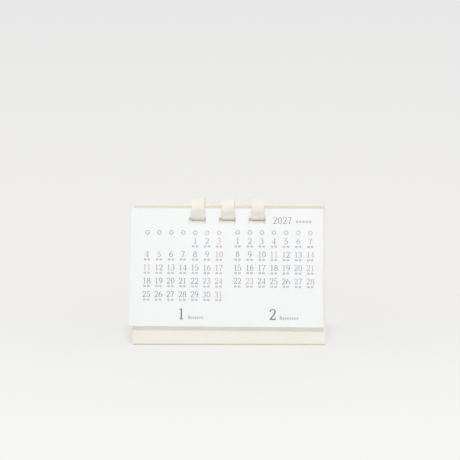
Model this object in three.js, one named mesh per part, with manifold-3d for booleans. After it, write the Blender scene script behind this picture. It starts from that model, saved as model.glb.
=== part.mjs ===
// Desk calendar: a folded card easel with paper leaves hung on three paper straps.
// Millimetres, +Z up, +X to the right, the printed leaves face -Y.
// The origin is on the table, midway between the feet of the front and the back panel.

import * as THREE from 'three';
import { mergeVertices } from 'three/addons/utils/BufferGeometryUtils.js';
import Module from 'manifold-3d';

// The easel
const STAND_WIDTH = 149.6;
const PANEL_LENGTH = 110.5;
const LEAN = THREE.MathUtils.degToRad(20);
const BOARD = 0.7;
const LIP_HEIGHT = 9;

// The straps that arch over the ridge
const STRAP_WIDTH = 10;
const STRAP_THICKNESS = 0.45;
const STRAP_PITCH = 23.4;
const STRAP_ROW_SHIFT = -1.2;
const ARCH_RADIUS = 8.7;
const ARCH_DROP = 4.3;
const SLIT_DEPTH = 13;
const TAIL_LENGTH = 9;
const ARCH_STEPS = 30;

// The leaves
const LEAF_WIDTH = 150.6;
const LEAF_HEIGHT = 93.4;
const LEAF_THICKNESS = 0.22;
const LEAF_GAP = 0.14;
const LEAF_TOP_DROP = 3.85;
const LEAF_CORNER_RADIUS = 1.2;
const LEAF_SHIFT = -0.65;
const LEAF_TILT = THREE.MathUtils.degToRad(-0.35);
const CORNER_STEPS = 5;
const NOTCH_WIDTH = 1;
const NOTCH_DEPTH = 1.65;

// Clearances
const CARD_GAP = 0.3;
const SLIT_GAP = 0.3;
const SLOT_SIDE_GAP = 1.7;
const SLOT_TOP_GAP = 0.3;
const SLOT_BOTTOM_GAP = 1.15;

const STRAPS = [
  { name: 'strap_left', place: -1 },
  { name: 'strap_middle', place: 0 },
  { name: 'strap_right', place: 1 },
];

// The leaves in their order from the panel outwards
const LEAVES = [
  'leaf_nov_dec',
  'leaf_sep_oct',
  'leaf_jul_aug',
  'leaf_may_jun',
  'leaf_mar_apr',
  'leaf_jan_feb',
];

const CREAM = 0xf3f0e4;
const CREAM_STRAP = 0xf7f4e8;
const WHITE_PAPER = 0xfafafa;
const PAPER_ROUGHNESS = 0.85;

const FRONT = -1;
const BACK = 1;

const ridgeHeight = BOARD + CARD_GAP + PANEL_LENGTH * Math.cos(LEAN);
const leafPitch = LEAF_THICKNESS + LEAF_GAP;
const firstLeafOffset = CARD_GAP + LEAF_THICKNESS / 2;
const lastLeafOffset = firstLeafOffset + leafPitch * (LEAVES.length - 1);

const wasm = await Module();
wasm.setup();

// A point of the section across the stand: down the panel's outer face from the ridge, and out from it.
function onPanel(side, down, out) {
  const y = side * (down * Math.sin(LEAN) + out * Math.cos(LEAN));
  const z = ridgeHeight - down * Math.cos(LEAN) + out * Math.sin(LEAN);
  return new THREE.Vector2(y, z);
}

function paper(color) {
  return new THREE.MeshStandardMaterial({ color, roughness: PAPER_ROUGHNESS, metalness: 0 });
}

// A section drawn in Y and Z, made as wide as stated and centred on x.
function acrossX(points, width, x) {
  const geometry = new THREE.ExtrudeGeometry(new THREE.Shape(points), {
    depth: width,
    bevelEnabled: false,
  });
  geometry.translate(0, 0, x - width / 2);
  const sectionToStand = new THREE.Matrix4().makeBasis(
    new THREE.Vector3(0, 1, 0),
    new THREE.Vector3(0, 0, 1),
    new THREE.Vector3(1, 0, 0),
  );
  return geometry.applyMatrix4(sectionToStand);
}

function toSolid(geometry) {
  const bare = geometry.clone();
  bare.deleteAttribute('normal');
  bare.deleteAttribute('uv');
  const merged = mergeVertices(bare);
  return new wasm.Manifold(new wasm.Mesh({
    numProp: 3,
    vertProperties: new Float32Array(merged.attributes.position.array),
    triVerts: new Uint32Array(merged.index.array),
  }));
}

function toGeometry(solid) {
  const mesh = solid.getMesh();
  const geometry = new THREE.BufferGeometry();
  geometry.setAttribute('position', new THREE.BufferAttribute(new Float32Array(mesh.vertProperties), 3));
  geometry.setIndex(new THREE.BufferAttribute(new Uint32Array(mesh.triVerts), 1));
  geometry.computeVertexNormals();
  return geometry;
}

function cut(geometry, cutters) {
  let solid = toSolid(geometry);
  for (const cutter of cutters) {
    solid = solid.subtract(toSolid(cutter));
  }
  return toGeometry(solid);
}

function strapX(place) {
  return STRAP_ROW_SHIFT + place * STRAP_PITCH;
}

// The strap's middle line in section: a tail down the inside of the front panel, out through the slit,
// a straight leg that meets the arch as its tangent, the arch over the ridge, and the same behind.
const arch = archAndLeg();

function archAndLeg() {
  const centre = new THREE.Vector2(0, ridgeHeight - ARCH_DROP);
  const slit = onPanel(FRONT, SLIT_DEPTH, 0);
  const toSlit = slit.clone().sub(centre);
  const slitAngle = Math.atan2(toSlit.y, toSlit.x) + 2 * Math.PI;
  const touchAngle = slitAngle - Math.acos(ARCH_RADIUS / toSlit.length());
  const touch = new THREE.Vector2(Math.cos(touchAngle), Math.sin(touchAngle))
    .multiplyScalar(ARCH_RADIUS)
    .add(centre);
  const leg = touch.clone().sub(slit).normalize();
  const upPanel = new THREE.Vector2(Math.sin(LEAN), Math.cos(LEAN));
  const legAngle = Math.acos(leg.dot(upPanel));
  return { centre, touchAngle, legAngle };
}

// How far down the panel the leg's middle line lies where it is this far out from the panel.
function legDown(out) {
  return SLIT_DEPTH - out / Math.tan(arch.legAngle);
}

function strapMiddleLine() {
  const tailOut = -(BOARD + CARD_GAP + STRAP_THICKNESS / 2);
  const bendDown = legDown(tailOut);
  const half = [
    onPanel(FRONT, bendDown + TAIL_LENGTH, tailOut),
    onPanel(FRONT, bendDown, tailOut),
  ];
  const line = [...half];
  for (let step = 0; step <= ARCH_STEPS; step += 1) {
    const angle = THREE.MathUtils.lerp(arch.touchAngle, Math.PI - arch.touchAngle, step / ARCH_STEPS);
    line.push(new THREE.Vector2(
      arch.centre.x + ARCH_RADIUS * Math.cos(angle),
      arch.centre.y + ARCH_RADIUS * Math.sin(angle),
    ));
  }
  for (const point of half.reverse()) {
    line.push(new THREE.Vector2(-point.x, point.y));
  }
  return line;
}

// A band of the given half thickness on both sides of a line, mitred at its corners.
function band(line, half) {
  const left = [];
  const right = [];
  for (let i = 0; i < line.length; i += 1) {
    const before = line[Math.max(i - 1, 0)];
    const after = line[Math.min(i + 1, line.length - 1)];
    const into = line[i].clone().sub(before).normalize();
    const out = after.clone().sub(line[i]).normalize();
    const along = into.clone().add(out).normalize();
    const bend = Math.max(into.dot(along), out.dot(along));
    const side = new THREE.Vector2(-along.y, along.x).multiplyScalar(half / bend);
    left.push(line[i].clone().add(side));
    right.push(line[i].clone().sub(side));
  }
  return [...left, ...right.reverse()];
}

function makeStrap({ name, place }) {
  const outline = band(strapMiddleLine(), STRAP_THICKNESS / 2);
  const mesh = new THREE.Mesh(acrossX(outline, STRAP_WIDTH, strapX(place)), paper(CREAM_STRAP));
  mesh.name = name;
  return mesh;
}

// The slit follows the strap's leg through the board, with its gap all round.
function slitCutters(side) {
  const reach = BOARD + CARD_GAP;
  const line = [
    onPanel(side, legDown(-reach), -reach),
    onPanel(side, legDown(reach), reach),
  ];
  const outline = band(line, STRAP_THICKNESS / 2 + SLIT_GAP);
  return STRAPS.map(({ place }) => acrossX(outline, STRAP_WIDTH + 2 * SLIT_GAP, strapX(place)));
}

// A panel is cut upright at the ridge, clear of its neighbour, and level at its foot.
function makePanel(name, side) {
  const ridgeOut = CARD_GAP / 2;
  const outerTop = ridgeOut / Math.sin(LEAN);
  const innerTop = (ridgeOut + BOARD * Math.cos(LEAN)) / Math.sin(LEAN);
  const innerFoot = PANEL_LENGTH - BOARD * Math.tan(LEAN);
  const section = [
    onPanel(side, outerTop, 0),
    onPanel(side, PANEL_LENGTH, 0),
    onPanel(side, innerFoot, -BOARD),
    onPanel(side, innerTop, -BOARD),
  ];
  const blank = acrossX(section, STAND_WIDTH, 0);
  const mesh = new THREE.Mesh(cut(blank, slitCutters(side)), paper(CREAM));
  mesh.name = name;
  return mesh;
}

// The base lies on the table from the front foot to the back one, and its lip holds the back foot.
function makeBase() {
  const footY = PANEL_LENGTH * Math.sin(LEAN);
  const lipInner = CARD_GAP;
  const lipOuter = CARD_GAP + BOARD;
  const lipInnerFoot = footY + lipInner / Math.cos(LEAN) + CARD_GAP * Math.tan(LEAN);
  const lipOuterFoot = footY + lipOuter / Math.cos(LEAN) + (BOARD + CARD_GAP) * Math.tan(LEAN);
  const lipTopDown = PANEL_LENGTH - LIP_HEIGHT;
  const section = [
    new THREE.Vector2(-footY, 0),
    new THREE.Vector2(lipOuterFoot, 0),
    onPanel(BACK, lipTopDown, lipOuter),
    onPanel(BACK, lipTopDown, lipInner),
    new THREE.Vector2(lipInnerFoot, BOARD),
    new THREE.Vector2(-footY, BOARD),
  ];
  const mesh = new THREE.Mesh(acrossX(section, STAND_WIDTH, 0), paper(CREAM));
  mesh.name = 'base_panel';
  return mesh;
}

function roundedRectangle(left, right, bottom, top, radius) {
  const shape = new THREE.Shape();
  const quarter = Math.PI / 2;
  shape.absarc(right - radius, top - radius, radius, 0, quarter, false);
  shape.absarc(left + radius, top - radius, radius, quarter, 2 * quarter, false);
  shape.absarc(left + radius, bottom + radius, radius, 2 * quarter, 3 * quarter, false);
  shape.absarc(right - radius, bottom + radius, radius, 3 * quarter, 4 * quarter, false);
  shape.closePath();
  return shape;
}

// The slots reach from above the strap on the outermost leaf to below it on the innermost one.
// A notch carries on down from each end, so that a tongue of paper lies below the strap.
function slotCutters() {
  const strapHalf = STRAP_THICKNESS / 2 / Math.sin(arch.legAngle);
  const outermost = lastLeafOffset + LEAF_THICKNESS / 2;
  const innermost = firstLeafOffset - LEAF_THICKNESS / 2;
  const slotTop = -(legDown(outermost) - strapHalf - SLOT_TOP_GAP);
  const slotBottom = -(legDown(innermost) + strapHalf + SLOT_BOTTOM_GAP);
  const half = STRAP_WIDTH / 2 + SLOT_SIDE_GAP;
  const outline = new THREE.Shape([
    new THREE.Vector2(-half, slotBottom - NOTCH_DEPTH),
    new THREE.Vector2(-half + NOTCH_WIDTH, slotBottom - NOTCH_DEPTH),
    new THREE.Vector2(-half + NOTCH_WIDTH, slotBottom),
    new THREE.Vector2(half - NOTCH_WIDTH, slotBottom),
    new THREE.Vector2(half - NOTCH_WIDTH, slotBottom - NOTCH_DEPTH),
    new THREE.Vector2(half, slotBottom - NOTCH_DEPTH),
    new THREE.Vector2(half, slotTop),
    new THREE.Vector2(-half, slotTop),
  ]);
  const cutter = new THREE.ExtrudeGeometry(outline, {
    depth: 2 * LEAF_THICKNESS,
    bevelEnabled: false,
  });
  return STRAPS.map(({ place }) => cutter.clone().translate(place * STRAP_PITCH, 0, -LEAF_THICKNESS));
}

// A leaf turns by its tilt about the middle strap, where it hangs.
function makeLeaf(name, index) {
  const top = -LEAF_TOP_DROP;
  const outline = roundedRectangle(
    -LEAF_WIDTH / 2,
    LEAF_WIDTH / 2,
    top - LEAF_HEIGHT,
    top,
    LEAF_CORNER_RADIUS,
  );
  const blank = new THREE.ExtrudeGeometry(outline, {
    depth: LEAF_THICKNESS,
    bevelEnabled: false,
    curveSegments: CORNER_STEPS,
  });
  blank.translate(0, 0, -LEAF_THICKNESS / 2);
  const geometry = cut(blank, slotCutters()).translate(0, SLIT_DEPTH, 0);
  const mesh = new THREE.Mesh(geometry, paper(WHITE_PAPER));
  mesh.name = name;
  mesh.position.set(STRAP_ROW_SHIFT + LEAF_SHIFT, -SLIT_DEPTH, firstLeafOffset + index * leafPitch);
  mesh.rotation.z = LEAF_TILT;
  return mesh;
}

// Leaves are drawn flat, with the ridge at y = 0, and leaned back against the front panel.
function makeLeaves() {
  const stack = new THREE.Group();
  stack.position.set(0, 0, ridgeHeight);
  stack.rotation.x = Math.PI / 2 - LEAN;
  LEAVES.forEach((name, index) => stack.add(makeLeaf(name, index)));
  return stack;
}

const calendar = new THREE.Group();
calendar.add(makePanel('front_panel', FRONT));
calendar.add(makePanel('back_panel', BACK));
calendar.add(makeBase());
STRAPS.forEach((strap) => calendar.add(makeStrap(strap)));
calendar.add(makeLeaves());

export default calendar;
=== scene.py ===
import math
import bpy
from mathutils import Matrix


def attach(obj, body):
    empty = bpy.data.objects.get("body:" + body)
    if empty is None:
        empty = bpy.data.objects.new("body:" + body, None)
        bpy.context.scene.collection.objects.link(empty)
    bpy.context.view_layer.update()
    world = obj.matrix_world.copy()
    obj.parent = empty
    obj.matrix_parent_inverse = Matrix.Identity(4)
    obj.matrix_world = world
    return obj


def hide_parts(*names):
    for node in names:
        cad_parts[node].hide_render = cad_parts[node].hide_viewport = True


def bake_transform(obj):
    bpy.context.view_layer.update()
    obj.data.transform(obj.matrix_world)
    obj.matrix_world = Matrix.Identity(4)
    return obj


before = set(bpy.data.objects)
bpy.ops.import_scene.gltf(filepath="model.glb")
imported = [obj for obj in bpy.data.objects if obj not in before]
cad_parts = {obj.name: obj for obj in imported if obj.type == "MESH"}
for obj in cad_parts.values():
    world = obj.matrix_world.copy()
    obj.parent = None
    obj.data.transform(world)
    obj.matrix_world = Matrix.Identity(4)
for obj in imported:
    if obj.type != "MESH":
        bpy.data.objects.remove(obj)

from calendar import monthrange
from collections import namedtuple

import bpy
import numpy as np
from bpy.props import FloatProperty, FloatVectorProperty, IntProperty, PointerProperty
from bpy.types import Operator, Panel, PropertyGroup
from mathutils import Matrix, Vector

bl_info = {
    "name": "Desk Calendar",
    "version": (1, 0, 0),
    "blender": (4, 5, 0),
    "location": "View3D > Sidebar > Calendar",
    "description": "Builds the paper and print of a strap-hung desk calendar around its packed solids",
    "category": "Add Mesh",
}

MM = 0.001

# The sign of Y on each side of the ridge
FRONT = -1
BACK = 1

# The straps, and how many pitches each stands from the middle one
PLACES = (("left", -1), ("middle", 0), ("right", 1))

# The leaves from the panel outwards, and the first month of each
LEAVES = (
    ("leaf_nov_dec", 11),
    ("leaf_sep_oct", 9),
    ("leaf_jul_aug", 7),
    ("leaf_may_jun", 5),
    ("leaf_mar_apr", 3),
    ("leaf_jan_feb", 1),
)

# Holidays that are printed in red, as month and day
RED_DAYS = {(1, 1), (1, 11), (2, 11), (2, 23)}
INKS = ("grey", "blue", "red", "pale", "deep")
GREY_INK, BLUE_INK, RED_INK, PALE_INK, DEEP_INK = range(len(INKS))

# Longest gaps between the points of the meshes, and steps round a bend
CARD_STEP = 5.0 * MM
LEAF_STEP = 4.0 * MM
LIP_STEP = 2.0 * MM
STRAP_STEP = 1.5 * MM
LEG_STEP = 0.7 * MM
FOLD_STEPS = 10
BEND_STEPS = 8
ARCH_STEPS = 96
SMOOTH_ANGLE = math.radians(40.0)

# How strongly each part takes on the tone of its creases: along the borders as handling wear, and at the
# ridge, the base folds, the slits and the strap crowns as painted shade
CARD_EDGE_WEAR = 0.5
RIDGE_PAINTED_SHADE = 0.95
BASE_EDGE_WEAR = 0.6
FOLD_PAINTED_SHADE = 0.9
STRAP_EDGE_WEAR = 0.5
SLIT_PAINTED_SHADE = 1.15
CROWN_PAINTED_SHADE = 0.3
LEAF_EDGE_WEAR = 0.6

# Where they do: in from a border as wear; as painted shade, down from the ridge (sets in, is full, fades,
# has gone), round a fold, round a line above the slits, and up from the ridge over the crown of a strap
# (sets in, is full)
EDGE_REACH = 0.8 * MM
RIDGE_SHADE_BAND = (1.3 * MM, 2.2 * MM, 3.8 * MM, 5.0 * MM)
FOLD_SHADE_REACH = 1.2 * MM
SLIT_SHADE_LINE = 0.6 * MM
SLIT_SHADE_REACH = 2.4 * MM
CROWN_SHADE_BAND = (-1.5 * MM, 2.5 * MM)

# The bow of a leaf: its random draw, where down the leaf it sets in and is full, and its waves across
BOW_SEED = 40
BOW_BAND = (0.12, 0.87)
BOW_WAVES = 1.3


def size(name, description, value):
    """A length property in metres, from a value in millimetres."""
    return FloatProperty(
        name=name, description=description, default=value * MM, unit="LENGTH", precision=5
    )


def turn(name, description, degrees):
    """An angle property, from a value in degrees."""
    return FloatProperty(
        name=name, description=description, default=math.radians(degrees), subtype="ANGLE"
    )


def number(name, description, value):
    """A property that is a plain number."""
    return FloatProperty(name=name, description=description, default=value)


def power(name, description, watts):
    """The power of a lamp."""
    return FloatProperty(name=name, description=description, default=watts, unit="POWER")


def tint(name, description, red, green, blue):
    """A colour property, from the values 0 to 255 of the finish as it is seen."""
    return FloatVectorProperty(
        name=name,
        description=description,
        default=linear(red, green, blue),
        size=3,
        min=0.0,
        max=1.0,
        subtype="COLOR",
    )


def linear(red, green, blue):
    """Display values 0 to 255 as the linear values that nodes take."""
    shown = np.array((red, green, blue)) / 255.0
    low = shown / 12.92
    high = ((shown + 0.055) / 1.055) ** 2.4
    return tuple(float(v) for v in np.where(shown <= 0.04045, low, high))


class CalendarEasel(PropertyGroup):
    """The folded card that the leaves lean on."""

    width: size("Width", "Width of the panels and the base", 149.6)
    length: size("Panel length", "From the ridge down to a foot, along the card", 110.5)
    lean: turn("Lean", "Angle of each panel from upright", 20.0)
    board: size("Board", "Thickness of the card", 0.7)
    gap: size("Gap", "Room between one piece of card and the next", 0.3)
    ridge_radius: size("Ridge radius", "Outer radius of the fold at the top", 0.38)
    ridge_board: size("Ridge board", "Thickness of the card where the ridge is creased", 0.3)
    foot_radius: size("Foot radius", "Outer radius of the fold at the front foot", 0.85)
    foot_board: size("Foot board", "Thickness of the card where it is folded at the front foot", 0.45)
    lip_radius: size("Lip radius", "Outer radius of the fold under the lip", 1.0)
    lip: size("Lip height", "How far the lip reaches up behind the back panel", 9.0)


class CalendarStraps(PropertyGroup):
    """The paper straps that carry the leaves over the ridge."""

    width: size("Width", "Width of a strap", 10.0)
    thickness: size("Thickness", "Thickness of a strap", 0.45)
    pitch: size("Pitch", "From one strap to the next", 23.4)
    shift: size("Shift", "From the middle of the easel to the middle strap", -1.2)
    radius: size("Arch radius", "Radius of the arch, at the middle of the paper", 8.7)
    drop: size("Arch drop", "From the ridge down to the middle of the arch", 4.3)
    slit: size("Slit depth", "From the ridge down to the slits in the panels", 13.4)
    slit_gap: size("Slit gap", "Room between a strap and its slit", 0.1)
    tail: size("Tail", "Length of the glued end inside a panel", 9.0)
    bend: size("Bend", "Radius of the bend from the tail into the leg", 1.0)


class CalendarLeaves(PropertyGroup):
    """The printed leaves."""

    width: size("Width", "Width of a leaf", 150.6)
    height: size("Height", "Height of a leaf", 93.4)
    paper: size("Paper", "Thickness of the paper", 0.16)
    solid: size("Solid", "Thickness of a leaf's solid", 0.22)
    pitch: size("Pitch", "From the middle of one leaf to the next, in the solids", 0.36)
    first: size("First leaf", "From the front panel to the middle of the first leaf", 0.41)
    drop: size("Top drop", "From the ridge down to the top edge", 4.0)
    shift: size("Shift", "From the middle strap to the middle of a leaf", -0.65)
    tilt: turn("Tilt", "Turn of the leaves about the middle strap", -0.35)
    corner: size("Corner radius", "Radius of the four corners", 1.2)
    slot_side_gap: size("Slot side gap", "Room beside a strap in its slot", 1.7)
    slot_top_gap: size("Slot top gap", "Room above a strap in its slot", 0.3)
    slot_bottom_gap: size("Slot bottom gap", "Room below a strap in its slot", 0.5)
    notch_width: size("Notch width", "Width of the notch at each end of a slot", 1.0)
    notch_depth: size("Notch depth", "How far a notch goes on down below the slot", 2.3)
    settled: size("Settled", "How much nearer the first leaf lies to the panel than its solid", 0.19)
    gathered: size("Gathered", "How much nearer each leaf lies to the one behind it than its solid", 0.1)
    flare: number("Flare", "Share of that nearness which the foot of a leaf gives up", 0.5)
    bow: size("Bow", "How far the paper bows out of its plane", 0.03)


class CalendarPrint(PropertyGroup):
    """The printed dates."""

    year: IntProperty(name="Year", description="Year of the printed dates", default=2027)
    date_height: size("Date height", "Height of a date's digits", 4.7)
    date_weight: number("Date weight", "Heaviness of a date's strokes", 0.78)
    month_height: size("Month height", "Height of a month's digits", 8.6)
    month_weight: number("Month weight", "Heaviness of a month's strokes", 0.92)
    year_height: size("Year height", "Height of the year's digits", 5.6)
    year_weight: number("Year weight", "Heaviness of the year's strokes", 0.6)
    relief: size("Relief", "Thickness of the ink above the paper", 0.02)
    origin: size("Origin", "From the ridge down to the line that the print is measured from", 3.85)
    grey: tint("Grey ink", "Dates from Monday to Friday", 106, 108, 111)
    blue: tint("Blue ink", "Saturdays", 126, 150, 202)
    red: tint("Red ink", "Sundays and holidays", 200, 124, 134)
    pale: tint("Pale ink", "Plain marks under the dates and beside the numbers", 203, 204, 205)
    deep: tint("Deep ink", "Numbers of the months and the year", 84, 85, 88)


class CalendarFinish(PropertyGroup):
    """Colours of the card and the papers."""

    card: tint("Card", "Cream card of the easel", 248, 245, 234)
    card_shade: tint("Card shade", "Darker fibres of the card", 236, 231, 214)
    # This tone is handling wear on the card's borders and painted shade below the ridge and round the base
    # folds
    card_crease: tint("Card crease", "Creased and handled edges of the card", 226, 210, 178)
    strap: tint("Strap", "Cream paper of the straps", 250, 246, 238)
    strap_shade: tint("Strap shade", "Darker fibres of the straps", 240, 230, 218)
    # This tone is handling wear on the straps' borders and painted shade near the slits and over the crown
    strap_crease: tint("Strap crease", "Handled straps, most of all at the slits", 248, 230, 192)
    leaf: tint("Leaf", "White paper of the leaves", 252, 253, 251)
    leaf_shade: tint("Leaf shade", "Darker fibres of the leaves", 243, 246, 244)


class CalendarStage(PropertyGroup):
    """Camera, light and floor."""

    azimuth: turn("Azimuth", "Direction of the camera round the calendar", 1.23)
    elevation: turn("Elevation", "Angle of the camera above the horizon", 10.0)
    roll: turn("Roll", "Turn of the camera about its line of sight", -0.143)
    distance: size("Distance", "From the camera to its target", 1200.0)
    target_x: size("Target X", "Where the camera looks, to the right", 0.192)
    target_y: size("Target Y", "Where the camera looks, to the back", -0.513)
    target_z: size("Target Z", "Where the camera looks, above the floor", 83.95)
    focal: number("Focal", "Focal length in frame widths", 3.306087)
    ambient: number("Ambient", "Strength of the light all round", 0.36)
    overhead: power("Overhead", "Power of the lamp above", 11.0)
    front: power("Front", "Power of the low lamp in front", 3.5)
    back: power("Back", "Power of the low lamp behind", 4.0)
    room: tint("Room", "Colour of the light all round", 255, 252, 247)
    lamp: tint("Lamp", "Colour of the lamps", 246, 249, 255)
    glow: number("Glow", "Share of the floor near the calendar that is seen without shadow", 0.7)
    # Painted light falloff: the floor is painted lighter in front of the calendar and darker behind it and
    # far away
    near: tint("Floor near", "Floor in front of the calendar", 247, 247, 245)
    middle: tint("Floor middle", "Floor just behind the calendar", 240, 239, 236)
    far: tint("Floor far", "Floor far away on every side, and the backdrop", 232, 232, 232)


# Meshes


def add_mesh(name, points, faces, attributes=None, slots=None):
    """A mesh object at the origin from vertices in metres and quads.

    Attributes hold one number for each vertex, and slots the number of each quad's material.
    """
    data = bpy.data.meshes.new(name)
    data.from_pydata(points.tolist(), [], faces.tolist())
    for key, values in (attributes or {}).items():
        layer = data.attributes.new(key, "FLOAT", "POINT")
        layer.data.foreach_set("value", np.asarray(values, np.float32))
    if slots is not None:
        data.polygons.foreach_set("material_index", np.asarray(slots, np.int32))
    data.update()
    obj = bpy.data.objects.new(name, data)
    bpy.context.scene.collection.objects.link(obj)
    return obj


def shade_curved(obj):
    """Shades the faces as curved, except over edges that turn by more than the smooth angle."""
    bpy.context.view_layer.objects.active = obj
    bpy.ops.object.select_all(action="DESELECT")
    obj.select_set(True)
    bpy.ops.object.shade_smooth_by_angle(angle=SMOOTH_ANGLE)
    obj.select_set(False)


def sheet_faces(present):
    """Quads of a closed sheet over a grid of cells, and the grid corners used.

    The outer skin has a quad for every present cell, the inner skin the same one turned over, and a wall
    stands on each side of a present cell whose neighbour is absent. Inner corners follow the outer ones.
    """
    rows, columns = present.shape
    corner = np.arange((rows + 1) * (columns + 1)).reshape(rows + 1, columns + 1)
    inner = corner.size
    ring = (corner[:-1, :-1], corner[:-1, 1:], corner[1:, 1:], corner[1:, :-1])
    padded = np.pad(present, 1)
    beside = (padded[:-2, 1:-1], padded[1:-1, 2:], padded[2:, 1:-1], padded[1:-1, :-2])
    outer_skin = np.stack([c[present] for c in ring], -1)
    quads = [outer_skin, outer_skin[:, ::-1] + inner]
    for side, neighbour in enumerate(beside):
        open_side = present & ~neighbour
        start = ring[side][open_side]
        end = ring[(side + 1) % 4][open_side]
        quads.append(np.stack((end, start, start + inner, end + inner), -1))
    quads = np.concatenate(quads)
    used, compact = np.unique(quads, return_inverse=True)
    return compact.reshape(quads.shape), used


def add_sheet(name, outer, thickness, present, attributes):
    """A closed sheet whose outer skin is a grid of points and whose inner skin lies its thickness below.

    The way down is the cross product of the grid's two directions, measured between neighbouring points.
    """
    along_rows = np.gradient(outer, axis=0)
    along_columns = np.gradient(outer, axis=1)
    normal = np.cross(along_columns, along_rows)
    normal /= np.linalg.norm(normal, axis=-1, keepdims=True)
    inner = outer - normal * np.broadcast_to(thickness, outer.shape[:2])[..., None]
    points = np.concatenate((outer.reshape(-1, 3), inner.reshape(-1, 3)))
    faces, used = sheet_faces(present)
    values = {}
    for key, grid in attributes.items():
        flat = np.broadcast_to(grid, outer.shape[:2]).reshape(-1)
        values[key] = np.concatenate((flat, flat))[used]
    return add_mesh(name, points[used], faces, values)


def rise(value, low, high):
    """0 up to the low value, 1 from the high value on, and an even turn between them."""
    t = np.clip((value - low) / (high - low), 0.0, 1.0)
    return t * t * (3.0 - 2.0 * t)


def ticks(stops, step):
    """Ascending places that hold every stop, with even gaps of at most the step between two stops."""
    slack = 1e-6
    parts = []
    for low, high in zip(stops[:-1], stops[1:]):
        count = max(int(math.ceil((high - low) / step - slack)), 1)
        parts.append(np.linspace(low, high, count + 1)[:-1])
    return np.append(np.concatenate(parts), stops[-1])


def edge_ticks(half, keep, step):
    """Places from -half to half, close together near both ends, that hold every place to keep."""
    close = (0.0, 0.25 * MM, EDGE_REACH, 2.0 * MM)
    left = [-half + c for c in close]
    right = [half - c for c in close[::-1]]
    return ticks([*left, *keep, *right], step)


def cells_outside(rows, columns, holes):
    """True for each cell of the grid whose middle lies in none of the holes.

    A hole is its lowest row and highest row, then its lowest column and highest column.
    """
    row = ((rows[:-1] + rows[1:]) / 2)[:, None]
    column = ((columns[:-1] + columns[1:]) / 2)[None, :]
    present = np.ones((len(rows) - 1, len(columns) - 1), bool)
    for low_row, high_row, low_column, high_column in holes:
        inside = (row > low_row) & (row < high_row) & (column > low_column) & (column < high_column)
        present &= ~inside
    return present


# The section across the stand


def ridge_height(easel):
    """Height of the line where the outer faces of the two panels would meet."""
    return easel.board + easel.gap + easel.length * math.cos(easel.lean)


def on_panel(easel, side, down, out):
    """Y and Z of points down a panel's outer face from the ridge, and out from that face."""
    y = side * (down * math.sin(easel.lean) + out * math.cos(easel.lean))
    z = ridge_height(easel) - down * math.cos(easel.lean) + out * math.sin(easel.lean)
    return np.stack((y, z), -1)


def rounded(start, corner, end, radius, steps):
    """Points of the arc that rounds a corner.

    It touches both straight lines, and its middle lies on the line that halves their angle.
    """
    start, corner, end = (np.asarray(p, float) for p in (start, corner, end))
    to_start = (start - corner) / np.linalg.norm(start - corner)
    to_end = (end - corner) / np.linalg.norm(end - corner)
    half_angle = math.acos(float(np.clip(to_start @ to_end, -1.0, 1.0))) / 2
    middle_line = (to_start + to_end) / np.linalg.norm(to_start + to_end)
    centre = corner + middle_line * radius / math.sin(half_angle)
    touch = corner + to_start * radius / math.tan(half_angle)
    leave = corner + to_end * radius / math.tan(half_angle)
    first = math.atan2(*(touch - centre)[::-1])
    last = math.atan2(*(leave - centre)[::-1])
    sweep = (last - first + math.pi) % (2 * math.pi) - math.pi
    angle = first + sweep * np.linspace(0.0, 1.0, steps + 1)
    return centre + radius * np.stack((np.cos(angle), np.sin(angle)), -1)


def straight(start, end, step):
    """Points from one place to another at even gaps of at most the step, the last one left out."""
    start, end = np.asarray(start, float), np.asarray(end, float)
    count = max(int(math.ceil(np.linalg.norm(end - start) / step)), 1)
    return start + (end - start) * (np.arange(count) / count)[:, None]


def carried_across(path, columns):
    """A grid of points: a path of Y and Z on every column, which is a place in X."""
    grid = np.empty((len(path), len(columns), 3))
    grid[..., 0] = columns[None, :]
    grid[..., 1:] = path[:, None, :]
    return grid


def path_length(path):
    """Length along a path up to each of its points."""
    return np.append(0.0, np.cumsum(np.linalg.norm(np.diff(path, axis=0), axis=1)))


def strap_places(straps):
    """X of the middle of each strap."""
    return [straps.shift + place * straps.pitch for _, place in PLACES]


def edge_of(columns, along):
    """How near each point of a grid lies to the border, 1 on it and 0 from the edge reach inwards."""
    across = np.minimum(columns - columns[0], columns[-1] - columns)[None, :]
    ends = np.minimum(along - along[0], along[-1] - along)[:, None]
    return 1.0 - rise(np.minimum(across, ends), 0.0, EDGE_REACH)


# Shader maths


class Number:
    """A number socket. An expression on it adds its Math nodes."""

    def __init__(self, maker, socket):
        self.maker = maker
        self.socket = socket

    def _with(self, operation, first, second):
        """A Math node with these two on its inputs."""
        return self.maker.add("ShaderNodeMath", {"operation": operation}, {0: first, 1: second})

    def __add__(self, other):
        return self._with("ADD", self, other)

    def __radd__(self, other):
        return self._with("ADD", other, self)

    def __sub__(self, other):
        return self._with("SUBTRACT", self, other)

    def __rsub__(self, other):
        return self._with("SUBTRACT", other, self)

    def __mul__(self, other):
        return self._with("MULTIPLY", self, other)

    def __rmul__(self, other):
        return self._with("MULTIPLY", other, self)

    def clamped(self):
        """The number kept from 0 to 1."""
        return self._with("MAXIMUM", self._with("MINIMUM", self, 1.0), 0.0)


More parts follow.
